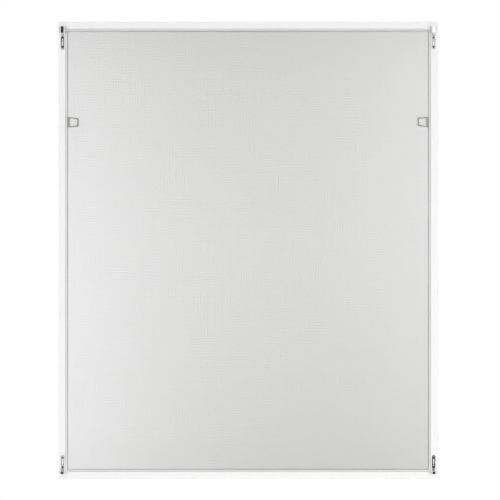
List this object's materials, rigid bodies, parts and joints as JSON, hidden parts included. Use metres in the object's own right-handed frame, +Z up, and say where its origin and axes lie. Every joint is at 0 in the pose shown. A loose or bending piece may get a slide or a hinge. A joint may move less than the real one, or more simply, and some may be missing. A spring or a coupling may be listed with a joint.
{
  "type": "window screen frame",
  "caption": "White hang-in insect screen for a window: slim hollow frame, stretched grey mesh held by a spline, pull loops and bent steel hooks.",
  "frame": {"origin": "centre of the overall box, hooks included", "axes": "+Z up, +X to the right as seen from the room, -Y towards the room"},
  "size_m": [1, 0.0242, 1.205],
  "materials": {
    "frame_white": "satin powder coat",
    "corner_white": "fine grained",
    "spline_grey": "matte",
    "mesh_grey": "coated fibreglass",
    "grip_grey": "moulded",
    "hanger_steel": "polished",
    "screw_steel": "blackened"
  },
  "bodies": {
    "root": {"top_rail": "frame_white", "bottom_rail": "frame_white", "left_stile": "frame_white", "right_stile": "frame_white", "corner_bottom_left": "corner_white", "corner_bottom_right": "corner_white", "corner_top_left": "corner_white", "corner_top_right": "corner_white", "spline": "spline_grey", "mesh": "mesh_grey", "grip_left": "grip_grey", "grip_right": "grip_grey", "hanger_bottom_left": "hanger_steel", "hanger_bottom_right": "hanger_steel", "hanger_top_left": "hanger_steel", "hanger_top_right": "hanger_steel", "hanger_screws": "screw_steel"}
  },
  "joints": []
}
